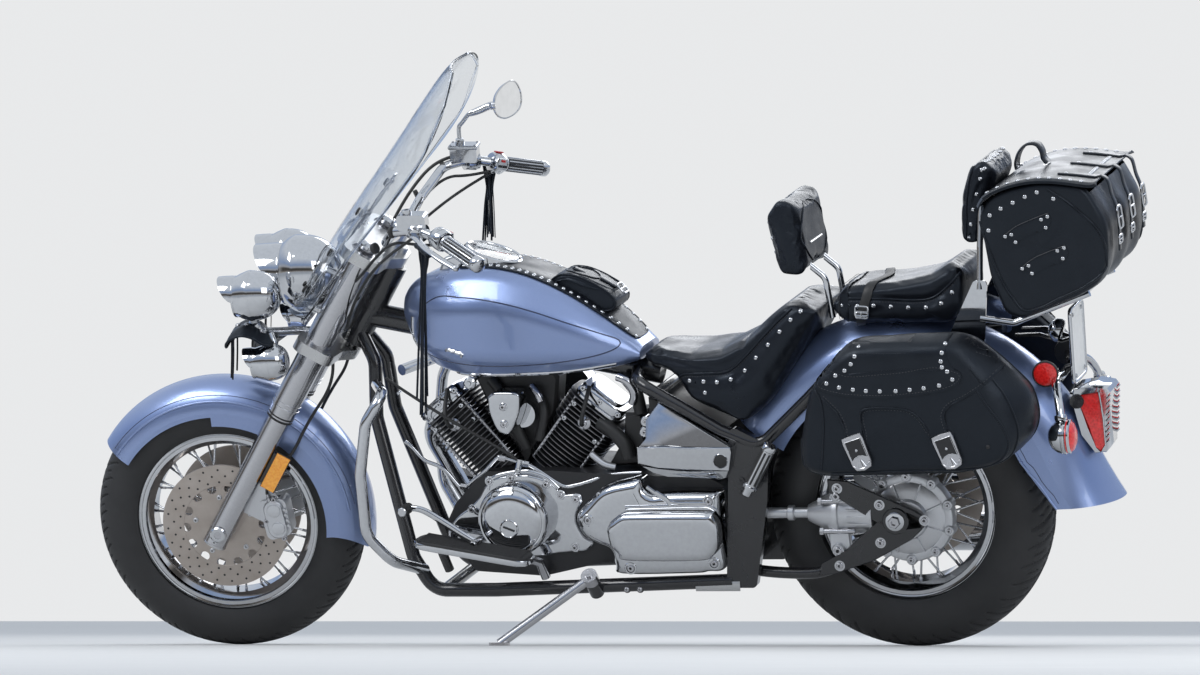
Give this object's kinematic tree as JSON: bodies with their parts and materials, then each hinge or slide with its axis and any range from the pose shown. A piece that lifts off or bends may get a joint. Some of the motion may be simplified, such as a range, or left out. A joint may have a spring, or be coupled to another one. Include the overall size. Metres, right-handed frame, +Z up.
{
  "type": "cruiser motorcycle",
  "caption": "Shaft-drive cruiser motorcycle with a finned V-twin, windshield, studded leather seats, saddlebags and trunk, leaning on its side stand.",
  "frame": {"origin": "middle of the outer box, on the floor", "axes": "+X towards the tail, +Y to the rider's right, +Z up from the floor; the machine leans 15 degrees to its left, towards -Y"},
  "size_m": [2.4836, 0.9315, 1.3568],
  "materials": {
    "paint": "metallic blue silver gloss",
    "black_paint": "black gloss",
    "dark_metal": "black enamel",
    "black_fins": "black enamel with polished edges",
    "chrome": "polished",
    "cast_silver": "silver enamel",
    "satin_alloy": "satin",
    "brake_steel": "brushed",
    "leather": "black",
    "black_rubber": "ribbed",
    "tyre": "matte",
    "clear_screen": "clear",
    "red_lens": "red lens",
    "white_plate": "white, blank"
  },
  "bodies": {
    "root": {"air_cleaner": "chrome", "bag_stays": "chrome", "cylinders": "black_fins", "engine_block": "dark_metal", "engine_covers": "chrome", "exhaust": "chrome", "final_drive": "cast_silver", "floorboards": "black_rubber", "foot_controls": "chrome", "frame": "black_paint", "fuel_tank": "paint", "highway_bars": "chrome", "number_plate": "white_plate", "passenger_backrest": "leather", "passenger_seat": "leather", "rear_caliper": "cast_silver", "rear_fender": "paint", "rider_backrest": "leather", "rider_seat": "leather", "rocker_covers": "chrome", "saddlebag_left": "leather", "saddlebag_right": "leather", "side_covers": "chrome", "sissy_bar": "chrome", "swingarm": "black_paint", "tail_lamp": "red_lens", "tank_bib": "leather", "tank_console": "chrome", "trunk_bag": "leather", "vee_cover": "chrome"},
    "fork": {"fork_legs": "satin_alloy", "fork_yokes": "satin_alloy", "headlamp": "chrome", "lamp_bar": "chrome", "windshield": "clear_screen", "windshield_brackets": "chrome", "handlebar": "chrome", "hand_grips": "black_rubber", "hand_controls": "chrome", "mirror": "chrome", "front_fender": "paint", "front_calipers": "cast_silver"},
    "front_wheel": {"front_tyre": "tyre", "front_wheel": "chrome", "front_brake_discs": "brake_steel"},
    "rear_wheel": {"rear_tyre": "tyre", "rear_wheel": "chrome", "rear_brake_disc": "brake_steel"},
    "side_stand": {"side_stand": "chrome"},
    "trunk_lid": {"trunk_lid": "leather"},
    "saddlebag_lid_left": {"saddlebag_lid_left": "leather"},
    "saddlebag_lid_right": {"saddlebag_lid_right": "leather"}
  },
  "joints": [
    {"name": "steering", "type": "hinge", "parent": "root", "child": "fork", "pos_m": [-0.53072, 0.00561, 0.78145], "axis": [0.5446, -0.2171, 0.8101], "range_deg": [-47.5, 28.5]},
    {"name": "front_wheel_spin", "type": "hinge", "parent": "fork", "child": "front_wheel", "pos_m": [-0.92427, 0.12251, 0.30461], "axis": [-0.1384, 0.9294, 0.3421], "continuous": true},
    {"name": "rear_wheel_spin", "type": "hinge", "parent": "root", "child": "rear_wheel", "pos_m": [0.7209, 0.12988, 0.31769], "axis": [0, 0.9659, 0.2588], "continuous": true},
    {"name": "side_stand_fold", "type": "hinge", "parent": "root", "child": "side_stand", "pos_m": [0.0059, -0.00999, 0.15195], "axis": [-0.0104, -0.8458, 0.5333], "range_deg": [0, 125]},
    {"name": "trunk_lid_hinge", "type": "hinge", "parent": "root", "child": "trunk_lid", "pos_m": [0.9729, -0.05495, 1.00746], "axis": [0, -0.9659, -0.2588], "range_deg": [0, 50]},
    {"name": "saddlebag_lid_left_hinge", "type": "hinge", "parent": "root", "child": "saddlebag_lid_left", "pos_m": [0.8009, -0.16464, 0.67887], "axis": [-1, 0, 0], "range_deg": [0, 80]},
    {"name": "saddlebag_lid_right_hinge", "type": "hinge", "parent": "root", "child": "saddlebag_lid_right", "pos_m": [0.8009, 0.20434, 0.77774], "axis": [1, 0, 0], "range_deg": [0, 80]}
  ]
}
